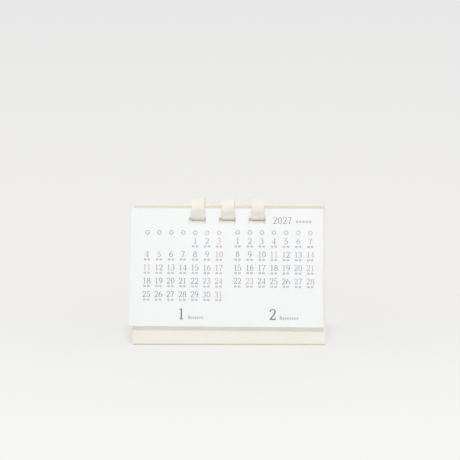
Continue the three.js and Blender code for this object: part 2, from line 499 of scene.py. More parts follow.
class Finish:
    """A material or world under construction: its nodes come from one method."""

    def __init__(self, name, owner=None, output="ShaderNodeOutputMaterial"):
        self.owner = owner or bpy.data.materials.new(name)
        self.owner.use_nodes = True
        self.tree = self.owner.node_tree
        self.tree.nodes.clear()
        self.output = self.tree.nodes.new(output)

    def add(self, kind, settings=None, values=None, out=0):
        """One node: its settings, then the values or links of its sockets. Gives the output asked for."""
        node = self.tree.nodes.new(kind)
        for key, value in (settings or {}).items():
            setattr(node, key, value)
        for key, value in (values or {}).items():
            socket = node.inputs[key]
            if isinstance(value, Number):
                self.tree.links.new(value.socket, socket)
            elif isinstance(value, tuple) and len(value) == 3 and socket.type == "RGBA":
                socket.default_value = (*value, 1.0)
            else:
                socket.default_value = value
        return Number(self, node.outputs[out])

    def place(self, scale=(1.0, 1.0, 1.0)):
        """Object coordinates, each times its scale."""
        where = self.add("ShaderNodeTexCoord", out="Object")
        return self.add("ShaderNodeMapping", {"vector_type": "POINT"}, {"Vector": where, "Scale": scale})

    def noise(self, where, scale, detail=3.0, roughness=0.55):
        """Noise from 0 to 1 at a number of waves a metre."""
        values = {"Vector": where, "Scale": scale, "Detail": detail, "Roughness": roughness}
        return self.add("ShaderNodeTexNoise", {"noise_dimensions": "3D"}, values, out=0)

    def spread(self, value, low, high):
        """A number carried from low..high to 0..1, with an even turn at both ends."""
        settings = {"interpolation_type": "SMOOTHSTEP"}
        return self.add("ShaderNodeMapRange", settings, {"Value": value, "From Min": low, "From Max": high})

    def point_value(self, name):
        """A number that the mesh keeps on its vertices."""
        return self.add("ShaderNodeAttribute", {"attribute_name": name}, out="Fac")

    def seen(self):
        """1 for what the camera sees, straight, reflected or through something, and 0 for other light."""
        kinds = ("Camera", "Glossy", "Transmission")
        rays = [self.add("ShaderNodeLightPath", out=f"Is {kind} Ray") for kind in kinds]
        return (rays[0] + rays[1] + rays[2]).clamped()

    def mix(self, share, first, second):
        """A colour between two colours."""
        settings = {"data_type": "RGBA"}
        return self.add("ShaderNodeMix", settings, {0: share, 6: first, 7: second}, out=2)

    def surface(self, socket):
        """The material or world itself, once its shader is linked to the output."""
        self.tree.links.new(socket.socket, self.output.inputs["Surface"])
        return self.owner


# Noises in the papers and the inks: their waves a metre, and the values at which each begins and is full
CLOUD_WAVES = 60.0
FIBRE_WAVES = 1500.0
PATCH_WAVES = 1800.0
TOOTH_WAVES = 2600.0
SPECK_WAVES = 3200.0
CLOUD_LIMITS = (0.3, 0.75)
FIBRE_LIMITS = (0.42, 0.78)
PATCH_LIMITS = (0.35, 0.75)
SPECK_LIMITS = (0.66, 0.8)

# Fibres are longer along X, and each noise has its share in the shade
FIBRE_STRETCH = (0.35, 1.0, 1.0)
CLOUD_SHARE = 0.16
FIBRE_SHARE = 0.3
SPECK_SHARE = 0.25
TOOTH_HEIGHT = 0.06 * MM


def paper_finish(name, colour, shade, crease, grain=1.0, roughness=0.82):
    """Paper with a cloudy tone, fibres drawn out along X, specks, a soft tooth, and worn places and painted
    shade.

    Cloud, fibres and specks add up to the share of the shade in the colour. The wear-and-shade attribute,
    more on the fibres, is the share of the crease's colour: handling wear along borders, and painted shade
    at the ridge, the folds, the slits and the strap crowns. Tooth and fibres are the height of the bumps.
    """
    finish = Finish(name)
    flat = finish.place()
    drawn = finish.place(FIBRE_STRETCH)
    cloud = finish.spread(finish.noise(flat, CLOUD_WAVES, 2.0), *CLOUD_LIMITS)
    fibre = finish.spread(finish.noise(drawn, FIBRE_WAVES, 4.0, 0.65), *FIBRE_LIMITS)
    speck = finish.spread(finish.noise(flat, SPECK_WAVES, 2.0), *SPECK_LIMITS)
    shaded = (cloud * CLOUD_SHARE + fibre * FIBRE_SHARE + speck * SPECK_SHARE).clamped()
    plain = finish.mix(shaded, tuple(colour), tuple(shade))
    # This attribute holds handling wear along borders and painted shade at the ridge, folds, slits and
    # crowns
    worn = finish.point_value("worn") * (0.55 + fibre * 0.3)
    tone = finish.mix(worn.clamped(), plain, tuple(crease))
    tooth = finish.noise(drawn, TOOTH_WAVES, 4.0, 0.6)
    height = tooth * 0.6 + fibre * 0.4
    bump = finish.add(
        "ShaderNodeBump", values={"Strength": 0.35 * grain, "Distance": TOOTH_HEIGHT, "Height": height}
    )
    shader = finish.add(
        "ShaderNodeBsdfPrincipled",
        values={
            "Base Color": tone,
            "Roughness": roughness + fibre * 0.08,
            "Normal": bump,
            "Specular IOR Level": 0.28,
        },
    )
    return finish.surface(shader)


def ink_finish(name, colour):
    """Printing ink that is a little lighter and duller in patches, and shines more than the paper."""
    finish = Finish(name)
    flat = finish.place()
    patch = finish.spread(finish.noise(flat, PATCH_WAVES, 3.0), *PATCH_LIMITS)
    lighter = tuple(c + 0.12 * (1.0 - c) for c in colour)
    tone = finish.mix(patch * 0.7, tuple(colour), lighter)
    shader = finish.add(
        "ShaderNodeBsdfPrincipled",
        values={"Base Color": tone, "Roughness": 0.62 + patch * 0.1, "Specular IOR Level": 0.3},
    )
    return finish.surface(shader)


# Pieces


def easel_path(easel, straps):
    """The section of the folded card, from the front foot over the ridge to the back foot.

    Gives the points of its outer line, the card's thickness at each point, and how far down its panel each
    point lies. The two outer faces meet in an arc that touches both. The card thins towards it, as a crease
    does.
    """
    thinning = 1.8 * MM
    touch = easel.ridge_radius / math.tan(easel.lean)
    near_ridge = (1.6 * MM, 2.2 * MM, 3.0 * MM, 4.5 * MM)
    near_foot = (easel.length - 2.0 * MM, easel.length - EDGE_REACH)
    stops = [touch, *near_ridge, *slit_reach(easel, straps), *near_foot, easel.length]
    downs = ticks(stops, CARD_STEP)
    angles = np.linspace(math.pi - easel.lean, easel.lean, FOLD_STEPS + 1)[1:-1]
    centre = ridge_height(easel) - easel.ridge_radius / math.sin(easel.lean)
    arc = np.stack((np.cos(angles), np.sin(angles)), -1) * easel.ridge_radius + (0.0, centre)
    front = on_panel(easel, FRONT, downs[::-1], 0.0 * downs)
    back = on_panel(easel, BACK, downs, 0.0 * downs)
    path = np.concatenate((front, arc, back))
    depth = np.concatenate((downs[::-1], 0.0 * angles, downs))
    board = easel.ridge_board + (easel.board - easel.ridge_board) * rise(depth, touch, touch + thinning)
    return path, board, depth


def leg_angle(easel, straps):
    """Angle between a strap's leg and the panel, and the angle on the arch where the leg touches it.

    The leg is the straight line from the slit that touches the circle of the arch on its outer side.
    """
    centre = np.array((0.0, ridge_height(easel) - straps.drop))
    slit = on_panel(easel, FRONT, np.array(straps.slit), np.array(0.0))
    away = slit - centre
    reach = float(np.linalg.norm(away))
    touch = math.atan2(away[1], away[0]) + 2 * math.pi - math.acos(straps.radius / reach)
    point = centre + straps.radius * np.array((math.cos(touch), math.sin(touch)))
    leg = (point - slit) / np.linalg.norm(point - slit)
    up = np.array((math.sin(easel.lean), math.cos(easel.lean)))
    return math.acos(float(leg @ up)), touch


def leg_down(easel, straps, out):
    """How far down the panel a strap's leg lies where it is this far out from the panel."""
    angle, _ = leg_angle(easel, straps)
    return straps.slit - out / math.tan(angle)


def slit_reach(easel, straps):
    """How far down the panel a slit begins and ends, for a leg that crosses the board at a slant."""
    angle, _ = leg_angle(easel, straps)
    room = straps.thickness / 2 / math.sin(angle) + straps.slit_gap
    return straps.slit - room, leg_down(easel, straps, -easel.board) + room


def build_easel(easel, straps, finish):
    """The front and back panel as one folded card, with three slits in each.

    Its section is carried across its width. It is worn along its borders, and painted shade darkens a band
    on each side of the ridge.
    """
    path, board, depth = easel_path(easel, straps)
    half_slit = straps.width / 2 + straps.slit_gap
    places = strap_places(straps)
    keep = sorted(x + s * half_slit for x in places for s in (-1, 1))
    columns = edge_ticks(easel.width / 2, keep, CARD_STEP)
    along = path_length(path)
    top, bottom = slit_reach(easel, straps)
    holes = []
    for side in (FRONT, BACK):
        span = [along[i] for i in slit_rows(depth, top, bottom, side)]
        holes += [(min(span), max(span), x - half_slit, x + half_slit) for x in places]
    present = cells_outside(along, columns, holes)
    # Painted shade: a band on each side of the ridge takes on the crease tone
    ridge_shade = rise(depth, *RIDGE_SHADE_BAND[:2]) * (1.0 - rise(depth, *RIDGE_SHADE_BAND[2:]))
    worn = np.maximum(edge_of(columns, along) * CARD_EDGE_WEAR, ridge_shade[:, None] * RIDGE_PAINTED_SHADE)
    outer = carried_across(path, columns)
    card = add_sheet("easel_card", outer, board[:, None], present, {"worn": worn})
    shade_curved(card)
    card.data.materials.append(finish)
    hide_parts("front_panel", "back_panel")
    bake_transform(card)
    return card


def slit_rows(depth, top, bottom, side):
    """Indices of the two path points at a slit's ends on the front or the back panel."""
    half = len(depth) // 2
    part = depth[:half] if side == FRONT else depth[half:]
    shift = 0 if side == FRONT else half
    return shift + int(np.argmin(abs(part - top))), shift + int(np.argmin(abs(part - bottom)))


def build_base(easel, finish):
    """The base: it carries on from the front foot round a fold, lies on the table, and turns up to the lip.

    The card is thin in the front fold and grows to its full thickness over the run behind it. It is worn
    along its borders, and painted shade darkens it round both folds.
    """
    seam = 0.02 * MM
    run = 1.5 * MM
    start = on_panel(easel, FRONT, np.array(easel.length + seam), np.array(0.0))
    height = ridge_height(easel)
    front_corner = np.array((-height * math.tan(easel.lean), 0.0))
    lip_out = easel.gap + easel.board
    lip_foot = (height + lip_out * math.sin(easel.lean)) / math.cos(easel.lean)
    back_corner = on_panel(easel, BACK, np.array(lip_foot), np.array(lip_out))
    lip_top = on_panel(easel, BACK, np.array(easel.length - easel.lip), np.array(lip_out))
    front_fold = rounded(start, front_corner, back_corner, easel.foot_radius, FOLD_STEPS)
    back_fold = rounded(front_corner, back_corner, lip_top, easel.lip_radius, FOLD_STEPS)
    flat = straight(front_fold[-1] + (run, 0.0), back_fold[0], CARD_STEP)
    lip = straight(back_fold[-1], lip_top, LIP_STEP)[1:]
    path = np.concatenate((start[None, :], front_fold, flat, back_fold, lip, lip_top[None, :]))
    along = path_length(path)
    past_fold = rise(path[:, 0], front_fold[-1, 0], front_fold[-1, 0] + run)
    board = easel.foot_board + (easel.board - easel.foot_board) * past_fold
    columns = edge_ticks(easel.width / 2, (), CARD_STEP)
    present = np.ones((len(path) - 1, len(columns) - 1), bool)
    front_crease = 1 + FOLD_STEPS // 2
    back_crease = len(front_fold) + len(flat) + FOLD_STEPS // 2
    # Painted shade round both folds of the base, darkest at the middle of each fold
    near_fold = np.minimum(abs(along - along[front_crease]), abs(along - along[back_crease]))
    crease = 1.0 - rise(near_fold, 0.0, FOLD_SHADE_REACH)
    worn = np.maximum(edge_of(columns, along) * BASE_EDGE_WEAR, crease[:, None] * FOLD_PAINTED_SHADE)
    outer = carried_across(path, columns)[:, ::-1]
    card = add_sheet("base_card", outer, board[:, None], present, {"worn": worn})
    shade_curved(card)
    card.data.materials.append(finish)
    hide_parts("base_panel")
    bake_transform(card)
    return card


def strap_path(easel, straps):
    """Middle line of a strap.

    It runs up the inside of the front panel, bends out through the slit, and goes straight to the arch over
    the ridge, which it touches. Behind, it is the same mirrored.
    """
    tail_out = -(easel.board + easel.gap + straps.thickness / 2)
    bend_down = leg_down(easel, straps, tail_out)
    _, touch = leg_angle(easel, straps)
    centre = np.array((0.0, ridge_height(easel) - straps.drop))
    tail = on_panel(easel, FRONT, np.array(bend_down + straps.tail), np.array(tail_out))
    bend = on_panel(easel, FRONT, np.array(bend_down), np.array(tail_out))
    on_arch = centre + straps.radius * np.array((math.cos(touch), math.sin(touch)))
    fold = rounded(tail, bend, on_arch, straps.bend, BEND_STEPS)
    angles = np.linspace(touch, math.pi - touch, ARCH_STEPS + 1)
    arch = centre + straps.radius * np.stack((np.cos(angles), np.sin(angles)), -1)
    leg = straight(fold[-1], arch[0], LEG_STEP)[1:]
    half = np.concatenate((straight(tail, fold[0], STRAP_STEP), fold, leg))
    mirrored = half[::-1] * (-1.0, 1.0)
    return np.concatenate((half, arch, mirrored))


def build_strap(name, x, easel, straps, finish):
    """One strap: its middle line carried across its width.

    Its skins lie half its thickness to each side. It is worn along its borders; painted shade darkens it
    round a line a little above each slit, and less so over the crown of the arch.
    """
    path = strap_path(easel, straps)
    along = path_length(path)
    columns = x + edge_ticks(straps.width / 2, (), STRAP_STEP)
    forward = np.gradient(path, axis=0)
    forward /= np.linalg.norm(forward, axis=1, keepdims=True)
    outward = np.stack((-forward[:, 1], forward[:, 0]), -1)
    skin = path + outward * straps.thickness / 2
    outer = carried_across(skin, columns)
    present = np.ones((len(path) - 1, len(columns) - 1), bool)
    depth = (ridge_height(easel) - path[:, 1]) / math.cos(easel.lean)
    # Painted shade: the strap takes on the crease tone round a line a little above each slit
    slit_shade = 1.0 - rise(abs(depth - straps.slit + SLIT_SHADE_LINE), 0.0, SLIT_SHADE_REACH)
    # Painted shade: the crown of the arch, which the lamp above lights most, is painted darker
    crown_shade = rise(path[:, 1] - ridge_height(easel), *CROWN_SHADE_BAND)
    slit_and_crown_shade = np.maximum(slit_shade * SLIT_PAINTED_SHADE, crown_shade * CROWN_PAINTED_SHADE)
    worn = np.maximum(edge_of(columns, along) * STRAP_EDGE_WEAR, slit_and_crown_shade[:, None])
    strap = add_sheet(f"strap_band_{name}", outer, straps.thickness, present, {"worn": worn})
    shade_curved(strap)
    strap.data.materials.append(finish)
    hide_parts(f"strap_{name}")
    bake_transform(strap)
    return strap


def slot_span(easel, straps, leaves):
    """How far down the slots begin and end.

    They begin above the strap where it crosses the outermost leaf, and end below it at the innermost.
    """
    angle, _ = leg_angle(easel, straps)
    strap_half = straps.thickness / 2 / math.sin(angle)
    outermost = leaves.first + leaves.pitch * (len(LEAVES) - 1) + leaves.solid / 2
    innermost = leaves.first - leaves.solid / 2
    top = leg_down(easel, straps, outermost) - strap_half - leaves.slot_top_gap
    bottom = leg_down(easel, straps, innermost) + strap_half + leaves.slot_bottom_gap
    return top, bottom


def leaf_bow(index, x, down, leaves):
    """How far a leaf lies out of the plane of its solid at a place.

    The stack lies together on the panel, so each leaf is nearer to it than its solid. The flare takes its
    share off that towards the foot. Two long waves of the leaf's own, one across it and one down it, set in
    on its way down.
    """
    draw = np.random.default_rng(BOW_SEED + index)
    swing = draw.uniform(-1.0, 1.0, 4)
    u = x / leaves.width
    v = (down - leaves.drop) / leaves.height
    across = np.sin(math.pi * (u * BOW_WAVES + swing[0])) * swing[1]
    downward = np.cos(math.pi * (v + u * swing[2])) * swing[3]
    bowed = leaves.bow * rise(v, *BOW_BAND) * (across + downward)
    nearness = (leaves.settled + leaves.gathered * index) * (1.0 - leaves.flare * rise(v, 0.0, 1.0))
    return bowed - nearness


def leaf_point(index, x, down, out, easel, straps, leaves):
    """Points on a leaf, from their X across it, how far down from the ridge, and how far out of its middle.

    They are turned by the tilt about the middle of the leaf at the depth of the slits, and lean with the
    front panel at the leaf's place in the stack.
    """
    c, s = math.cos(leaves.tilt), math.sin(leaves.tilt)
    up = straps.slit - down
    across = straps.shift + leaves.shift + c * x - s * up
    along = straps.slit - (s * x + c * up)
    offset = leaves.first + index * leaves.pitch + leaf_bow(index, x, down, leaves) + out
    section = on_panel(easel, FRONT, along, offset)
    return np.concatenate((across[..., None], section), -1)


def leaf_outline(straps, leaves, slot_top, slot_bottom):
    """Places down a leaf, and the places across it at each of them.

    A corner is an arc of steps of 15 degrees, and the three columns within its radius close up with it.
    """
    theta = np.radians(np.arange(15, 91, 15))
    corner = leaves.corner * (1 - np.cos(theta)) - leaves.corner * (1 - math.cos(theta[0]))
    top = leaves.drop
    bottom = leaves.drop + leaves.height
    notch_bottom = slot_bottom + leaves.notch_depth
    stops = (top + corner[-1], slot_top, slot_bottom, notch_bottom, bottom - corner[-1])
    inner = ticks(stops, LEAF_STEP)
    downs = np.concatenate((top + corner[:-1], inner, bottom - corner[:-1][::-1]))
    near = np.minimum(downs - top, bottom - downs)
    factor = np.interp(near, corner, np.sin(theta))
    slot_half = straps.width / 2 + leaves.slot_side_gap
    notch_edge = slot_half - leaves.notch_width
    edges = (-slot_half, -notch_edge, notch_edge, slot_half)
    places = [place * straps.pitch + edge for _, place in PLACES for edge in edges]
    straight_half = leaves.width / 2 - leaves.corner
    columns = ticks([-straight_half, *places, straight_half], LEAF_STEP)
    rim = np.array((0.35, 0.7, 1.0)) * leaves.corner
    outer = factor[:, None] * rim[None, :]
    middle = np.broadcast_to(columns, (len(downs), len(columns)))
    across = np.concatenate((-straight_half - outer[:, ::-1], middle, straight_half + outer), axis=1)
    return downs, across


def build_leaf(index, name, easel, straps, leaves, finish):
    """One leaf: a thin sheet with three slots and rounded corners, bowed a little.

    A slot is three holes in the grid: its long part and the notch that goes on down from each of its ends.
    """
    slot_top, slot_bottom = slot_span(easel, straps, leaves)
    downs, across = leaf_outline(straps, leaves, slot_top, slot_bottom)
    down = np.broadcast_to(downs[:, None], across.shape)
    outer = leaf_point(index, across, down, leaves.paper / 2, easel, straps, leaves)[::-1]
    notch_bottom = slot_bottom + leaves.notch_depth
    slot_half = straps.width / 2 + leaves.slot_side_gap
    holes = []
    for _, place in PLACES:
        left = place * straps.pitch - slot_half
        right = place * straps.pitch + slot_half
        holes.append((slot_top, slot_bottom, left, right))
        holes.append((slot_bottom, notch_bottom, left, left + leaves.notch_width))
        holes.append((slot_bottom, notch_bottom, right - leaves.notch_width, right))
    widest = across[len(downs) // 2]
    present = cells_outside(downs, widest, holes)[::-1]
    worn = edge_of(widest, downs) * LEAF_EDGE_WEAR
    leaf = add_sheet(f"paper_{name}", outer, leaves.paper, present, {"worn": worn[::-1]})
    shade_curved(leaf)
    leaf.data.materials.append(finish)
    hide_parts(name)
    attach(leaf, name)
    return leaf


# Digits and marks

# Digits are drawn narrow and set wider; a later stroke of a digit stands above the ones before it
DIGIT_STRETCH = 1.26
DIGIT_ADVANCE = 0.68
STROKE_RISE = 0.25


def pen_line(points, thin=0.028, thick=0.062, flat=False):
    """A stroke of a digit: its line, and its half width at each point.

    The half width goes from thin, where the pen moves across, to thick, where it moves down, with the
    upright share of its direction to the power of 1.5. A flat stroke is thin all along.
    """
    points = np.asarray(points, float)
    forward = np.gradient(points, axis=0)
    forward /= np.linalg.norm(forward, axis=1, keepdims=True)
    share = np.zeros(len(points)) if flat else abs(forward[:, 1]) ** 1.5
    return points, thin + (thick - thin) * share


def arc(cx, cy, rx, ry, first, last, count):
    """Points of an ellipse between two angles in degrees, anticlockwise from the right."""
    angle = np.radians(np.linspace(first, last, count))
    return np.stack((cx + rx * np.cos(angle), cy + ry * np.sin(angle)), -1)


def digit_strokes():
    """The strokes of each digit, in a box 0.56 wide and 1 tall."""
    two_bow = np.concatenate((arc(0.27, 0.73, 0.18, 0.24, 175, -20, 10), ((0.3, 0.36), (0.1, 0.06))))
    three_bow = np.concatenate((arc(0.26, 0.75, 0.16, 0.22, 160, -80, 9), ((0.2, 0.52),)))
    five_bow = np.concatenate((((0.11, 0.55),), arc(0.25, 0.31, 0.2, 0.29, 115, -155, 12)))
    return {
        "0": [pen_line(arc(0.28, 0.5, 0.19, 0.47, 90, 450, 17))],
        "1": [
            pen_line(((0.28, 0.98), (0.28, 0.02)), thick=0.06),
            pen_line(((0.27, 0.94), (0.15, 0.86)), flat=True),
            pen_line(((0.14, 0.02), (0.42, 0.02)), flat=True),
        ],
        "2": [
            pen_line(two_bow),
            pen_line(((0.07, 0.055), (0.47, 0.055), (0.49, 0.2)), thin=0.05, flat=True),
        ],
        "3": [
            pen_line(three_bow),
            pen_line(arc(0.25, 0.27, 0.2, 0.25, 88, -160, 11)),
        ],
        "4": [
            pen_line(((0.37, 0.97), (0.05, 0.3)), thin=0.026, thick=0.026),
            pen_line(((0.05, 0.28), (0.5, 0.28)), thin=0.034, flat=True),
            pen_line(((0.37, 0.97), (0.37, 0.02)), thick=0.06),
            pen_line(((0.27, 0.02), (0.47, 0.02)), flat=True),
        ],
        "5": [
            pen_line(((0.13, 0.95), (0.43, 0.95)), thin=0.04, flat=True),
            pen_line(((0.13, 0.96), (0.1, 0.54)), thin=0.026, thick=0.028),
            pen_line(five_bow),
        ],
        "6": [
            pen_line(arc(0.44, 0.36, 0.35, 0.61, 95, 180, 8)),
            pen_line(arc(0.28, 0.31, 0.19, 0.28, 0, 360, 15)),
        ],
        "7": [
            pen_line(((0.08, 0.82), (0.1, 0.93), (0.48, 0.93)), thin=0.045, flat=True),
            pen_line(((0.47, 0.93), (0.3, 0.5), (0.24, 0.02)), thin=0.03, thick=0.06),
        ],
        "8": [
            pen_line(arc(0.28, 0.74, 0.155, 0.22, 90, 450, 13)),
            pen_line(arc(0.28, 0.27, 0.195, 0.25, 90, 450, 15)),
        ],
        "9": [
            pen_line(arc(0.12, 0.64, 0.35, 0.61, -85, 0, 8)),
            pen_line(arc(0.28, 0.69, 0.19, 0.28, 180, 540, 15)),
        ],
    }


def stroke_shape(line, half, layer):
    """Vertices (x, y, level) and quads of one stroke: a ribbon with a top, an underside, sides and ends.

    Its borders lie the half width to each side of the line. Level 0 is the underside, and the top is at 1
    and a rise more for each layer. A line that ends where it begins makes a closed ring.
    """
    closed = bool(np.allclose(line[0], line[-1]))
    if closed:
        line, half = line[:-1], half[:-1]
        forward = np.roll(line, -1, axis=0) - np.roll(line, 1, axis=0)
    else:
        forward = np.gradient(line, axis=0)
    forward /= np.linalg.norm(forward, axis=1, keepdims=True)
    side = np.stack((-forward[:, 1], forward[:, 0]), -1) * half[:, None]
    count = len(line)
    level = 1.0 + STROKE_RISE * layer
    flat = np.concatenate((line + side, line - side))
    low = np.column_stack((flat, np.zeros(2 * count)))
    high = np.column_stack((flat, np.full(2 * count, level)))
    points = np.concatenate((high, low))
    here = np.arange(count if closed else count - 1)
    after = (here + 1) % count
    left, left_next, right, right_next = here, after, here + count, after + count
    under = 2 * count
    quads = [
        np.stack((left, right, right_next, left_next), -1),
        np.stack((left_next, right_next, right, left), -1) + under,
        np.stack((left_next, left_next + under, left + under, left), -1),
        np.stack((right, right + under, right_next + under, right_next), -1),
    ]
    if not closed:
        last = count - 1
        quads.append(np.array([(0, under, under + count, count)]))
        quads.append(np.array([(last, last + count, last + count + under, last + under)]))
    return points, np.concatenate(quads)


def joined(shapes):
    """Several shapes as one: vertices in one list, and faces counted on."""
    points = [p for p, _ in shapes]
    starts = np.cumsum([0, *[len(p) for p in points[:-1]]])
    faces = [f + start for (_, f), start in zip(shapes, starts)]
    return np.concatenate(points), np.concatenate(faces)


def digit_shapes(weight):
    """Every digit as one shape, its strokes made as heavy as the weight says.

    Its box is 1 high, and the left lower corner of the box is the origin.
    """
    shapes = {}
    for digit, strokes in digit_strokes().items():
        wide = [(line * (DIGIT_STRETCH, 1.0), half * weight) for line, half in strokes]
        shapes[digit] = joined([stroke_shape(line, half, k) for k, (line, half) in enumerate(wide)])
    return shapes


def mark_shape(half_width, half_height, exponent):
    """A plain filled mark: a box with rounded corners and flat ends, about its middle.

    Its outline is an ellipse whose cosine and sine are raised to a power. Five places down that outline
    make a ribbon down the middle, as wide as the outline is there.
    """
    angle = np.radians(np.linspace(120, 240, 5))
    sine = np.sin(angle)
    half = abs(np.cos(angle)) ** exponent * half_width
    upright = np.sign(sine) * abs(sine) ** exponent * half_height
    return stroke_shape(np.stack((0.0 * half, upright), -1), half, 0)


def ring_shape():
    """A plain open ring of height 1 about its middle."""
    line, half = pen_line(arc(0.0, 0.0, 0.44, 0.44, 90, 450, 17), thin=0.055, flat=True)
    return stroke_shape(line, half, 0)


# Layout of a leaf, in its own millimetres: X from its middle, Y down from the top
Half = namedtuple("Half", "first_x pitch_x first_y header_y number_x marks_x marks_width marks")
LEFT_HALF = Half(-62.4, 9.37, 26.3, 19.7, -34.9, -29.6, 12.0, 7)
RIGHT_HALF = Half(8.4, 9.46, 26.1, 19.2, 36.0, 41.5, 14.6, 8)
ROW_PITCH = 10.55
RING_HEIGHT = 3.4
UNDER_DATE = ((-1.45, 4.3), (1.45, 4.3))
UNDER_DATE_HEIGHT = 2.2
NUMBER_Y = 83.7
MARKS_Y = 86.8
YEAR_PLACE = (43.2, 9.5)
YEAR_MARKS = {"x": 53.4, "y": 10.4, "width": 12.9, "count": 5}
SATURDAY, SUNDAY = 5, 6

# Half width, half height and exponent of each plain mark's outline
DATE_MARK = (0.5, 0.43, 0.7)
TALL_MARK = (0.5, 0.78, 0.8)
YEAR_MARK = (0.5, 0.5, 0.7)

# How much larger the first mark of a row is, and the size and the lift of a mark in shares of its step
FIRST_MARK = 1.35
MARK_SHARE = 0.8
MARK_LIFT = 0.62


class PrintSheet:
    """Gathers the shapes printed on one leaf."""

    def __init__(self):
        self.shapes = []
        self.slots = []

    def put(self, shape, x, y, height, ink):
        """A shape scaled to a height and set with its origin at a place."""
        points, faces = shape
        placed = points.copy()
        placed[:, 0] = x + points[:, 0] * height
        placed[:, 1] = y - points[:, 1] * height
        self.shapes.append((placed, faces))
        self.slots.append(np.full(len(faces), ink))

    def put_number(self, digits, text, x, y, height, ink):
        """A number centred on a place."""
        advance = DIGIT_ADVANCE * height
        left = x - advance * len(text) / 2
        for order, digit in enumerate(text):
            self.put(digits[digit], left + advance * order, y + height / 2, height, ink)

    def put_marks(self, mark, x, y, width, count, first=1.0):
        """A row of plain marks from its left end; the first may be larger, on the same base line."""
        step = width / count
        for order in range(count):
            grown = first if order == 0 else 1.0
            lifted = (grown - 1.0) * step * MARK_LIFT
            self.put(mark, x + step * (order + 0.5), y - lifted, step * MARK_SHARE * grown, PALE_INK)


def day_ink(month, day, column):
    """The ink of a date or, without a day, of the ring above its column."""
    if column == SUNDAY or (month, day) in RED_DAYS:
        return RED_INK
    return BLUE_INK if column == SATURDAY else GREY_INK


def put_month(page, half, digits, bold, month, settings):
    """One month's half of a leaf: rings, dates with two plain marks under each, and its big number."""
    weekday, length = monthrange(settings.year, month)
    ring = ring_shape()
    mark = mark_shape(*DATE_MARK)
    for column in range(7):
        x = half.first_x + half.pitch_x * column
        page.put(ring, x, half.header_y, RING_HEIGHT, day_ink(month, None, column))
    for day in range(1, length + 1):
        row, column = divmod(weekday + day - 1, 7)
        x = half.first_x + half.pitch_x * column
        y = half.first_y + ROW_PITCH * row
        page.put_number(digits, str(day), x, y, settings.date_height / MM, day_ink(month, day, column))
        for shift, drop in UNDER_DATE:
            page.put(mark, x + shift, y + drop, UNDER_DATE_HEIGHT, PALE_INK)
    page.put_number(bold, str(month), half.number_x, NUMBER_Y, settings.month_height / MM, DEEP_INK)
    tall = mark_shape(*TALL_MARK)
    page.put_marks(tall, half.marks_x, MARKS_Y, half.marks_width, half.marks, FIRST_MARK)


def build_print(index, name, month, easel, straps, leaves, settings, inks):
    """All the ink of one leaf: laid out flat, then put on the bowed paper.

    Its underside is half a relief inside the paper, and its top one relief above it.
    """
    page = PrintSheet()
    digits = digit_shapes(settings.date_weight)
    bold = digit_shapes(settings.month_weight)
    for order, half in enumerate((LEFT_HALF, RIGHT_HALF)):
        put_month(page, half, digits, bold, month + order, settings)
    year_digits = digit_shapes(settings.year_weight)
    page.put_number(year_digits, str(settings.year), *YEAR_PLACE, settings.year_height / MM, DEEP_INK)
    page.put_marks(mark_shape(*YEAR_MARK), **YEAR_MARKS)
    points, faces = joined(page.shapes)
    level = leaves.paper / 2 + (points[:, 2] * 1.5 - 0.5) * settings.relief
    x = points[:, 0] * MM
    down = settings.origin + points[:, 1] * MM
    placed = leaf_point(index, x, down, level, easel, straps, leaves)
    ink = add_mesh(f"print_{name}", placed, faces, slots=np.concatenate(page.slots))
    for material in inks:
        ink.data.materials.append(material)
    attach(ink, name)
    return ink


# Operators


class CALENDAR_OT_easel(Operator):
    """Folds the cream card of the easel and its base"""

    bl_idname = "calendar.easel"
    bl_label = "Build Easel"

    def execute(self, context):
        scene = context.scene
        colours = scene.calendar_finish
        card = paper_finish("cream_card", colours.card, colours.card_shade, colours.card_crease)
        build_easel(scene.calendar_easel, scene.calendar_straps, card)
        build_base(scene.calendar_easel, card)
        return {"FINISHED"}


class CALENDAR_OT_straps(Operator):
    """Bends the three paper straps over the ridge"""

    bl_idname = "calendar.straps"
    bl_label = "Build Straps"

    def execute(self, context):
        scene = context.scene
        colours = scene.calendar_finish
        paper = paper_finish("strap_paper", colours.strap, colours.strap_shade, colours.strap_crease)
        for (name, _), x in zip(PLACES, strap_places(scene.calendar_straps)):
            build_strap(name, x, scene.calendar_easel, scene.calendar_straps, paper)
        return {"FINISHED"}


class CALENDAR_OT_leaves(Operator):
    """Hangs the six white leaves on the straps"""

    bl_idname = "calendar.leaves"
    bl_label = "Build Leaves"

    def execute(self, context):
        scene = context.scene
        colours = scene.calendar_finish
        tones = (colours.leaf, colours.leaf_shade, colours.leaf_shade)
        paper = paper_finish("leaf_paper", *tones, grain=0.5, roughness=0.74)
        sizes = (scene.calendar_easel, scene.calendar_straps, scene.calendar_leaves)
        for index, (name, _) in enumerate(LEAVES):
            build_leaf(index, name, *sizes, paper)
        return {"FINISHED"}


class CALENDAR_OT_print(Operator):
    """Prints the dates on the leaves"""

    bl_idname = "calendar.print"
    bl_label = "Print Dates"

    def execute(self, context):
        scene = context.scene
        settings = scene.calendar_print
        inks = [ink_finish(f"{name}_ink", tuple(getattr(settings, name))) for name in INKS]
        sizes = (scene.calendar_easel, scene.calendar_straps, scene.calendar_leaves)
        for index, (name, month) in enumerate(LEAVES):
            build_print(index, name, month, *sizes, settings, inks)
        return {"FINISHED"}


class CALENDAR_OT_stage(Operator):
    """Sets the floor, the light and the camera"""

    bl_idname = "calendar.stage"
    bl_label = "Set Stage"

    def execute(self, context):
        stage = context.scene.calendar_stage
        add_floor(stage)
        add_light(stage)
        add_camera(stage)
        return {"FINISHED"}


